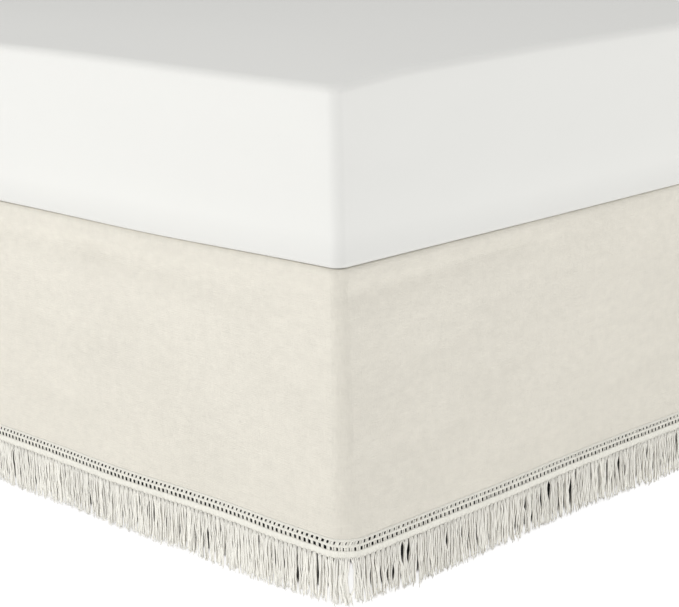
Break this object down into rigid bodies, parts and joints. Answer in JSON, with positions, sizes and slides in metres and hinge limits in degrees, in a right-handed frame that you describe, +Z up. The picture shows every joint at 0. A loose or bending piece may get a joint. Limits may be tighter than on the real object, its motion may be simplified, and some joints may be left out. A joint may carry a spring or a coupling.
{
  "type": "bed skirt on a bed with mattress",
  "caption": "Plain ivory bed skirt with a flat drop and a fringed openwork hem trim, hung from the base of a plain bed with mattress.",
  "frame": {"origin": "on the floor, under the middle of the part's bounding box", "axes": "+X across the bed's width, +Y along its length towards the open head end, +Z up"},
  "size_m": [1.5534, 2.0466, 0.7153],
  "materials": {
    "skirt_cloth": "ivory slub weave, matt",
    "trim_yarn": "cream spun yarn, matt",
    "fitted_sheet": "smooth white plain weave",
    "base_cloth": "grey plain ticking",
    "leg_wood": "oiled beech"
  },
  "bodies": {
    "root": {"skirt_drop": "skirt_cloth", "deck": "skirt_cloth", "fringe_trim": "trim_yarn", "mattress": "fitted_sheet", "foundation": "base_cloth", "leg_left_foot": "leg_wood", "leg_left_middle": "leg_wood", "leg_left_head": "leg_wood", "leg_right_foot": "leg_wood", "leg_right_middle": "leg_wood", "leg_right_head": "leg_wood"}
  },
  "joints": []
}
